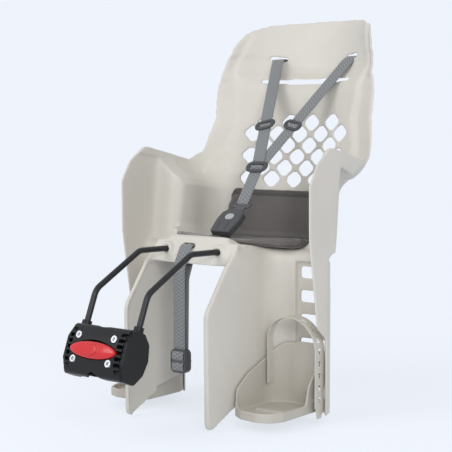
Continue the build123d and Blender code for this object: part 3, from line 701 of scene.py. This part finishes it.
def webStrip(name, nodes, path, halves, closed=False):
    ring = harness["section"]
    sides = len(ring)
    count = len(path)
    verts = []
    flat = []
    run = 0.0
    for k in range(count + (1 if closed else 0)):
        at = path[k % count]
        ahead = path[(k + 1) % count] if closed or k < count - 1 else at
        behind = path[k - 1] if closed or k > 0 else at
        along = (ahead - behind).normalized()
        lean = along.x
        out = Vector((1, 0, 0)).cross(along).normalized()
        if k > 0:
            run += (at - behind).length
        half = halves[k % count]
        for side, level in ring:
            verts.append(at + Vector((side * half, 0, 0)) + out * level * harness["thick"])
            flat.append((side * half * (1 - lean * lean) ** 0.5, run + side * half * lean))
    steps = count if closed else count - 1
    faces = []
    for first in range(0, steps * sides, sides):
        for j in range(sides):
            i = (j + 1) % sides
            faces.append((first + j, first + i, first + sides + i, first + sides + j))
    if not closed:
        faces.append(tuple(range(sides - 1, -1, -1)))
        faces.append(tuple(range(steps * sides, steps * sides + sides)))
    mesh = bpy.data.meshes.new(name)
    mesh.from_pydata(verts, [], faces)
    layer = mesh.uv_layers.new(name="strap")
    for loop in mesh.loops:
        layer.data[loop.index].uv = flat[loop.vertex_index]
    facesOut(mesh, 1e-6 if closed else 0.0)
    return dress(linked(name, mesh), greyWebbing, "seat", "webbing", *nodes)


def hump(d):
    return exp(-(d / harness["waveWide"]) ** 2)


# the web dips under the long sides of a slider and rises over its middle bar
def sliderWave(d):
    away = harness["dipAway"]
    return harness["crown"] * hump(d) - harness["dip"] * (hump(d - away) + hump(d + away))


def shoulderPath(sign, level, toBuckle):
    path = []
    halves = []
    narrow = harness["half"]
    stretch = (1 + slant * slant) ** 0.5
    wide = narrow * stretch
    if toBuckle:
        chest = harness["loop"] - harness["home"]
        chestRun = chest.length
        chestOut = Vector((0, chest.z, -chest.y)).normalized()
        deep, before, bendRun = harness["chestBend"]
        for k in range(harness["chestSteps"]):
            d = (chestRun + harness["chestPast"]) * (1 - k / harness["chestSteps"])
            bend = deep * max(0, (d - chestRun + before) / bendRun) ** 2
            path.append(harness["home"] + chest.normalized() * d + chestOut * (level - bend + sliderWave(d)))
            halves.append(narrow)
    top = slopeRun - harness["slopeEnd"]
    start = harness["start"]
    for k in range(harness["slopeSteps"] + 1):
        v = start + (top - start) * k / harness["slopeSteps"]
        lift = sliderWave((v - harness["sliderV"]) * stretch) + (sliderWave(v) if toBuckle else 0)
        path.append(onSlope(sign * slant * v, v, level + lift))
        halves.append(narrow + (wide - narrow) * min(1.0, v / harness["spread"]))
    first = path[-1]
    cornerV = slopeRun - harness["cornerEnd"]
    corner = onSlope(sign * slant * cornerV, cornerV, level)
    last = onPan(sign * harness["slotX"], harness["slotIn"], harness["slotH"])
    for k in range(1, harness["cornerSteps"] + 1):
        t = k / harness["cornerSteps"]
        path.append(first * (1 - t) ** 2 + corner * 2 * t * (1 - t) + last * t * t)
        halves.append(wide + (narrow - wide) * t)
    path.append(onPan(sign * harness["slotX"], harness["slotOut"], harness["slotH"]))
    halves.append(narrow)
    return path, halves


webStrip("leftHarnessWeb", ["left_shoulder_strap"], *shoulderPath(1, 0.0008, False))
webStrip("rightHarnessWeb", ["right_shoulder_strap"], *shoulderPath(-1, 0.0026, True))
crotchPath = [Vector((0, 0.2979, 0.135 + 0.0332 * k / 8)) for k in range(9)]
webStrip("crotchWeb", ["crotch_strap"], crotchPath, [harness["half"]] * len(crotchPath))

# the safety strap's loop: its outline in y and z, its middle and how its corners are eased
safety = {
    "outline": ((0.191, -0.058), (0.191, 0.11), (0.1935, 0.121), (0.2075, 0.147), (0.213, 0.152), (0.22, 0.152),
                (0.223, 0.146), (0.216, 0.13), (0.212, 0.116), (0.2035, 0.096), (0.2005, -0.058)),
    "x": -0.014,
    "corners": (0.0035, 0.0016),
    "cornerShare": 0.3,
}


# a loop of web from the outline of its CAD solid: half a thickness in, with its corners eased
def loopPath(outline, x):
    points = [Vector((x, y, z)) for y, z in outline]
    count = len(points)
    inner = []
    for k in range(count):
        before = (points[k] - points[k - 1]).normalized()
        after = (points[(k + 1) % count] - points[k]).normalized()
        way = (before + after).normalized()
        inward = Vector((0, way.z, -way.y))
        inner.append(points[k] + inward * harness["thick"] / 2 / max(way.dot(after), 0.5))
    for corner in safety["corners"]:
        eased = []
        for k in range(len(inner)):
            for other in (inner[k - 1], inner[(k + 1) % len(inner)]):
                gap = other - inner[k]
                eased.append(inner[k] + gap.normalized() * min(corner, gap.length * safety["cornerShare"]))
        inner = eased
    return inner


safetyPath = loopPath(safety["outline"], safety["x"])
webStrip("safetyWeb", ["safety_strap"], safetyPath, [harness["half"]] * len(safetyPath), closed=True)
print("webbing made")


# ladder-lock sliders: a rounded ring above the web and the bar that the web runs over
def ringSlider(name, node, look):
    x, v = look["at"]
    long, high = look["size"]
    turn = Matrix.Rotation(radians(look["turn"]), 3, "Z")
    tube = look["tube"]
    bend = high / 2 - tube
    straight = long / 2 - tube - bend
    work = bmesh.new()

    def corner(across, up, level):
        spot = turn @ Vector((across, up, 0))
        return work.verts.new(onSlope(x + spot.x, v + spot.y, level))

    rings = []
    for angle in turns(ringForm["around"]):
        ox = cos(angle)
        oy = sin(angle)
        ring = []
        for a in turns(ringForm["sides"]):
            broad = 1 + ringForm["broadEnd"] * ox * ox if cos(a) < 0 else 1
            reach = tube * cos(a) * broad
            ring.append(corner(bend * ox + straight * signOf(ox) + ox * reach, bend * oy + oy * reach,
                               look["level"] + look["rise"] * sin(a)))
        rings.append(ring)
    skinRings(work, rings, closed=True)
    # bar across the middle, under the web
    bar = []
    for side in (-1, 1):
        bar.append([corner(side * (long / 2 - tube), ringForm["bar"][0] * cos(a),
                           look["level"] - look["sink"] + ringForm["bar"][1] * sin(a))
                    for a in turns(ringForm["barSides"])])
    skinRings(work, bar)
    return dress(refined(finishedMesh(work, name)), darkFitting, "seat", "fitting", node)


# broadEnd thickens the ends inwards, so that the window is as wide as the web
ringForm = {
    "around": 40,
    "sides": 14,
    "broadEnd": 0.9,
    "bar": (0.0017, 0.0011),
    "barSides": 8,
}
sliders = {
    "leftAdjuster": ("left_strap_slider", {
        "at": (slant * harness["sliderV"], harness["sliderV"]), "turn": -17,
        "size": (0.042, 0.0225), "tube": 0.0033, "rise": 0.0021, "level": 0.0029, "sink": 0.0017}),
    "rightAdjuster": ("right_strap_slider", {
        "at": (-slant * harness["sliderV"], harness["sliderV"]), "turn": 17,
        "size": (0.042, 0.0225), "tube": 0.0033, "rise": 0.0021, "level": 0.0047, "sink": 0.0017}),
    "chestAdjuster": ("chest_slider", {
        "at": (0, 0), "turn": 0, "size": (0.047, 0.0245), "tube": 0.0036, "rise": 0.0023,
        "level": 0.0049, "sink": 0.0019}),
}
for pieceName, (nodeName, look) in sliders.items():
    ringSlider(pieceName, nodeName, look)
print("sliders made")

# adjuster of the safety strap: a deep frame, a bar across each side and the web that bulges in its windows
adjuster = {
    "at": Vector((-0.014, 0.1956, -0.042)),
    "half": (0.0165, 0.0203),
    "bend": 0.0075,
    "tube": 0.0018,
    "deep": 0.0082,
    "bar": (0.0012, 0.00192),
    "barOut": 0.0089,
    "around": 48,
    "sides": 16,
    "barSides": 10,
    "square": 0.5,  # power that squares the frame's section
    "webHalf": 0.0122,
    "webReach": 0.0165,
    "webAway": 0.0068,
    "webBulge": 0.0022,
    "webSteps": 16,
}


def squared(value):
    return signOf(value) * abs(value) ** adjuster["square"]


def makeAdjuster():
    work = bmesh.new()
    at = adjuster["at"]
    bend = adjuster["bend"]
    tube = adjuster["tube"]
    wide, tall = [half - tube - bend for half in adjuster["half"]]
    rings = []
    for angle in turns(adjuster["around"], 0.5):
        ox = cos(angle)
        oz = sin(angle)
        ring = []
        for a in turns(adjuster["sides"]):
            out = tube * squared(cos(a)) + bend
            ring.append(work.verts.new(at + Vector((wide * signOf(ox) + ox * out, adjuster["deep"] * squared(sin(a)),
                                                    tall * signOf(oz) + oz * out))))
        rings.append(ring)
    skinRings(work, rings, closed=True)
    for side in (-1, 1):
        ends = []
        for end in (-1, 1):
            ring = []
            for a in turns(adjuster["barSides"]):
                spot = Vector((end * (adjuster["half"][0] - tube),
                               side * adjuster["barOut"] + adjuster["bar"][0] * cos(a), adjuster["bar"][1] * sin(a)))
                ring.append(work.verts.new(at + spot))
            ends.append(ring)
        skinRings(work, ends)
    return dress(finishedMesh(work, "safetyAdjuster"), darkFitting, "seat", "fitting", "safety_buckle")


def adjusterWeb():
    path = []
    steps = adjuster["webSteps"]
    for k in range(2 * steps + 1):
        t = k / steps - 1
        away = -adjuster["webAway"] - adjuster["webBulge"] * sin(pi * abs(t))
        path.append(adjuster["at"] + Vector((0, away, adjuster["webReach"] * t)))
    return path, [adjuster["webHalf"]] * len(path)


makeAdjuster()
webStrip("adjusterWeb", [], *adjusterWeb())
print("safety adjuster made")

# padded liner: the CAD solid drawn in a little, blown up as cloth, then sewn
pad = {
    "voxel": 0.003,
    "settle": 8,
    "shrink": 0.0013,
    "pressure": 4.0,
    "cap": 0.003,
    "topHalf": 0.121,
    "lowHalf": 0.141,
    "highest": 0.105,
    "rim": 0.006,
    "raise": 0.0055,
    "blowSteps": 20,
    "backS": 0.15,  # from here on the liner lies against the back
    "rimSide": (0.05, 0.06),  # the pairs are start and run of a fade
    "rimFront": (0.175, -0.06),
    "rimTop": (0.0, 0.4),
    "raiseRun": (0.025, 0.06),
    "bandH": 0.0905,
    "stitchRise": 0.004,
    "stitchHalf": 0.118,
    "seams": ((0.0905, 0.0013, 0.0016), (0.019, 0.001, 0.0022)),
}


def blowUp(obj):
    start = [vert.co.copy() for vert in obj.data.vertices]
    cloth = obj.modifiers.new("soft", "CLOTH")
    cloth.settings.use_pressure = True
    cloth.settings.uniform_pressure_force = pad["pressure"]
    cloth.settings.effector_weights.gravity = 0.0
    cloth.settings.quality = 5
    cloth.point_cache.frame_start = 1
    cloth.point_cache.frame_end = pad["blowSteps"]
    for step in range(1, pad["blowSteps"] + 1):
        scene.frame_set(step)
    graph = bpy.context.evaluated_depsgraph_get()
    grown = [vert.co.copy() for vert in obj.evaluated_get(graph).data.vertices]
    obj.modifiers.clear()
    scene.frame_set(1)
    for vert, old, new in zip(obj.data.vertices, start, grown):
        move = new - old
        if move.length > pad["cap"]:
            move = move * (pad["cap"] / move.length)
        vert.co = old + move


def panParts(co):
    away = co - panHome
    return away.dot(panAlong), away.dot(panUp)


# the liner's side edges run in towards the top of the back
def trimPad(mesh):
    work = bmesh.new()
    work.from_mesh(mesh)
    for sign in (1, -1):
        top = onPan(sign * pad["topHalf"], 0, pad["highest"])
        low = onPan(sign * pad["lowHalf"], 0, 0)
        out = (top - low).cross(panAlong).normalized()
        if out.x * sign < 0:
            out.negate()
        whole = work.verts[:] + work.edges[:] + work.faces[:]
        cut = bmesh.ops.bisect_plane(work, geom=whole, plane_co=low, plane_no=out, clear_outer=True)
        rim = [item for item in cut["geom_cut"] if isinstance(item, bmesh.types.BMEdge)]
        bmesh.ops.holes_fill(work, edges=rim, sides=0)
    bmesh.ops.triangulate(work, faces=work.faces)
    work.to_mesh(mesh)
    work.free()
    return mesh


def makePad():
    obj = linked("softPad", trimPad(mergedCopy("seat_pad")))
    skinned(obj, pad["voxel"], pad["settle"])
    softBucket(obj.data)
    normals = [vert.normal.copy() for vert in obj.data.vertices]
    for vert, normal in zip(obj.data.vertices, normals):
        vert.co -= normal * pad["shrink"]
    blowUp(obj)
    refined(obj)
    bindingAndSeamShade = obj.data.attributes.new("bindingAndSeamShade", "FLOAT", "POINT")
    moves = []
    for vert in obj.data.vertices:
        s, h = panParts(vert.co)
        facing = vert.normal.dot((panUp - panAlong).normalized())
        onBack = s > pad["backS"]
        depth = 0.0
        if facing > 0.1 and onBack:
            for level, deep, wide in pad["seams"]:
                depth += deep * exp(-((h - level) / wide) ** 2)
        lift = pad["rim"] * fade(abs(vert.co.x), *pad["rimSide"]) * fade(s, *pad["rimFront"])
        lift *= fade(vert.normal.dot(panUp), *pad["rimTop"])
        if onBack:
            lift += pad["raise"] * fade(h, *pad["raiseRun"])
        moves.append(vert.co - vert.normal * depth + panUp * lift)
        # band and rim mark the real binding; the seams' depth adds painted shade in their grooves
        band = 1.0 if onBack and h > pad["bandH"] else 0.0
        rim = max(0.0, 1.0 - abs(facing) / 0.45)
        bindingAndSeamShade.data[vert.index].value = min(1.0, max(band, rim) + depth / 0.0012)
    for vert, spot in zip(obj.data.vertices, moves):
        vert.co = spot
    print("pad", len(obj.data.polygons), "faces")
    dress(obj, padCloth, "seat", "pad", "seat_pad")
    return obj


softPad = makePad()


# stitches along a seam, as Geometry Nodes
def makeStitchRun():
    tree = bpy.data.node_groups.new("stitchRun", "GeometryNodeTree")
    socket(tree, "Geometry", "NodeSocketGeometry")
    socket(tree, "Pitch", "NodeSocketFloat", value=0.0055)
    socket(tree, "Stitch Length", "NodeSocketFloat", value=0.0036)
    socket(tree, "Thread Radius", "NodeSocketFloat", value=0.00035)
    socket(tree, "Thread", "NodeSocketMaterial")
    socket(tree, "Geometry", "NodeSocketGeometry", "OUTPUT")
    inside = tree.nodes.new("NodeGroupInput")
    outside = tree.nodes.new("NodeGroupOutput")
    curve = tree.nodes.new("GeometryNodeMeshToCurve")
    even = tree.nodes.new("GeometryNodeResampleCurve")
    even.mode = "LENGTH"
    tangent = tree.nodes.new("GeometryNodeInputTangent")
    turn = tree.nodes.new("FunctionNodeAlignRotationToVector")
    turn.axis = "Z"
    stitch = tree.nodes.new("GeometryNodeMeshCylinder")
    stitch.inputs["Vertices"].default_value = 6
    spread = tree.nodes.new("GeometryNodeInstanceOnPoints")
    real = tree.nodes.new("GeometryNodeRealizeInstances")
    paint = tree.nodes.new("GeometryNodeSetMaterial")
    tree.links.new(inside.outputs["Geometry"], curve.inputs["Mesh"])
    tree.links.new(curve.outputs["Curve"], even.inputs["Curve"])
    tree.links.new(inside.outputs["Pitch"], even.inputs["Length"])
    tree.links.new(tangent.outputs["Tangent"], turn.inputs["Vector"])
    tree.links.new(inside.outputs["Thread Radius"], stitch.inputs["Radius"])
    tree.links.new(inside.outputs["Stitch Length"], stitch.inputs["Depth"])
    tree.links.new(even.outputs["Curve"], spread.inputs["Points"])
    tree.links.new(stitch.outputs["Mesh"], spread.inputs["Instance"])
    tree.links.new(turn.outputs["Rotation"], spread.inputs["Rotation"])
    tree.links.new(spread.outputs["Instances"], real.inputs["Geometry"])
    tree.links.new(real.outputs["Geometry"], paint.inputs["Geometry"])
    tree.links.new(inside.outputs["Thread"], paint.inputs["Material"])
    tree.links.new(paint.outputs["Geometry"], outside.inputs["Geometry"])
    return tree


stitchRun = makeStitchRun()


def sewn(name, points, slot):
    mesh = bpy.data.meshes.new(name)
    mesh.from_pydata(points, [(k, k + 1) for k in range(len(points) - 1)], [])
    obj = linked(name, mesh)
    nodes = obj.modifiers.new("stitches", "NODES")
    nodes.node_group = stitchRun
    for item in stitchRun.interface.items_tree:
        if item.item_type == "SOCKET" and item.in_out == "INPUT" and item.name == "Thread":
            nodes[item.identifier] = padThread
    plainMesh(obj)
    return dress(obj, padThread, "seat", slot)


padTree = BVHTree.FromPolygons([vert.co for vert in softPad.data.vertices],
                               [list(face.vertices) for face in softPad.data.polygons])


def padSeam(level, half):
    points = []
    for k in range(121):
        x = half * (k / 60 - 1)
        hit, normal, index, gap = padTree.ray_cast(onPan(x, 0.06, level), panAlong)
        if hit is not None:
            points.append(hit + normal * 0.0002)
    return points


sewn("bandStitches", padSeam(pad["bandH"] + pad["stitchRise"], pad["stitchHalf"]), "pad")
print("pad sewn")

# studio: pale floor and sky, one large soft key and a fill
studio = {
    "floorZ": -0.1395,
    "floorSize": 9.0,
    "aim": (0, 0.3, 0.2),
    "sky": (0.86, 0.90, 0.97),
    "skyLight": 0.54,
    "middle": (0.0, 0.25, -0.1395),
    "near": 0.35,
    "far": 1.3,
    "shadow": 0.3,
    "lift": 0.3,
    "key": {"place": (-0.9, -1.9, 1.7), "size": 1.6, "power": 26.5},
    "fill": {"place": (1.95, -1.4, 1.3), "size": 1.3, "power": 28.0},
}


# rays that show the backdrop: straight to the camera, or by way of gloss and glass
def seenRay(tree):
    path = tree.nodes.new("ShaderNodeLightPath")
    shine = mathNode(tree, "MAXIMUM", path.outputs["Is Glossy Ray"], path.outputs["Is Transmission Ray"])
    return mathNode(tree, "MAXIMUM", path.outputs["Is Camera Ray"], shine)


def makeFloor():
    work = bmesh.new()
    bmesh.ops.create_grid(work, x_segments=2, y_segments=2, size=studio["floorSize"])
    for vert in work.verts:
        vert.co.z = studio["floorZ"]
    mesh = bpy.data.meshes.new("studioFloor")
    work.to_mesh(mesh)
    work.free()
    floor = linked("studioFloor", mesh)
    mat, tree, shader = newTree("paleFloor")
    shader.inputs["Base Color"].default_value = rgb(*studio["sky"])
    shader.inputs["Roughness"].default_value = 0.9
    # what the camera sees turns into the sky's colour away from the seat; near it the shadow shows
    place = tree.nodes.new("ShaderNodeTexCoord")
    away = addNode(tree, "ShaderNodeVectorMath", operation="DISTANCE")
    away.inputs[1].default_value = studio["middle"]
    tree.links.new(place.outputs["Object"], away.inputs[0])
    fade = addNode(tree, "ShaderNodeMapRange", interpolation_type="SMOOTHSTEP")
    fade.inputs["From Min"].default_value = studio["near"]
    fade.inputs["From Max"].default_value = studio["far"]
    fade.inputs["To Min"].default_value = studio["shadow"]
    fade.inputs["To Max"].default_value = 0.0
    tree.links.new(away.outputs["Value"], fade.inputs["Value"])
    glow = addNode(tree, "ShaderNodeEmission", Color=rgb(*studio["sky"]))
    level = mathNode(tree, "ADD", mathNode(tree, "MULTIPLY", fade.outputs["Result"], studio["lift"]), 1.0)
    tree.links.new(level, glow.inputs["Strength"])
    shown = tree.nodes.new("ShaderNodeMixShader")
    tree.links.new(fade.outputs["Result"], shown.inputs[0])
    tree.links.new(glow.outputs[0], shown.inputs[1])
    tree.links.new(shader.outputs[0], shown.inputs[2])
    pick = tree.nodes.new("ShaderNodeMixShader")
    tree.links.new(seenRay(tree), pick.inputs[0])
    tree.links.new(shader.outputs[0], pick.inputs[1])
    tree.links.new(shown.outputs[0], pick.inputs[2])
    tree.links.new(pick.outputs[0], tree.nodes["Material Output"].inputs["Surface"])
    mesh.materials.append(mat)
    return floor


def makeSky():
    world = bpy.data.worlds.new("studioSky")
    world.use_nodes = True
    tree = world.node_tree
    tree.nodes.clear()
    out = tree.nodes.new("ShaderNodeOutputWorld")
    light = addNode(tree, "ShaderNodeBackground", Strength=studio["skyLight"], Color=rgb(0.95, 0.97, 1.0))
    seen = addNode(tree, "ShaderNodeBackground", Strength=1.0, Color=rgb(*studio["sky"]))
    pick = tree.nodes.new("ShaderNodeMixShader")
    tree.links.new(seenRay(tree), pick.inputs[0])
    tree.links.new(light.outputs[0], pick.inputs[1])
    tree.links.new(seen.outputs[0], pick.inputs[2])
    tree.links.new(pick.outputs[0], out.inputs["Surface"])
    scene.world = world


def makeLamp(name, spot):
    data = bpy.data.lights.new(name, "AREA")
    data.size = spot["size"]
    data.energy = spot["power"]
    lamp = bpy.data.objects.new(name, data)
    lamp.location = spot["place"]
    aim = Vector(studio["aim"]) - lamp.location
    lamp.rotation_euler = aim.to_track_quat("-Z", "Y").to_euler()
    scene.collection.objects.link(lamp)


makeFloor()
makeSky()
makeLamp("keyLamp", studio["key"])
makeLamp("fillLamp", studio["fill"])
print("studio set")
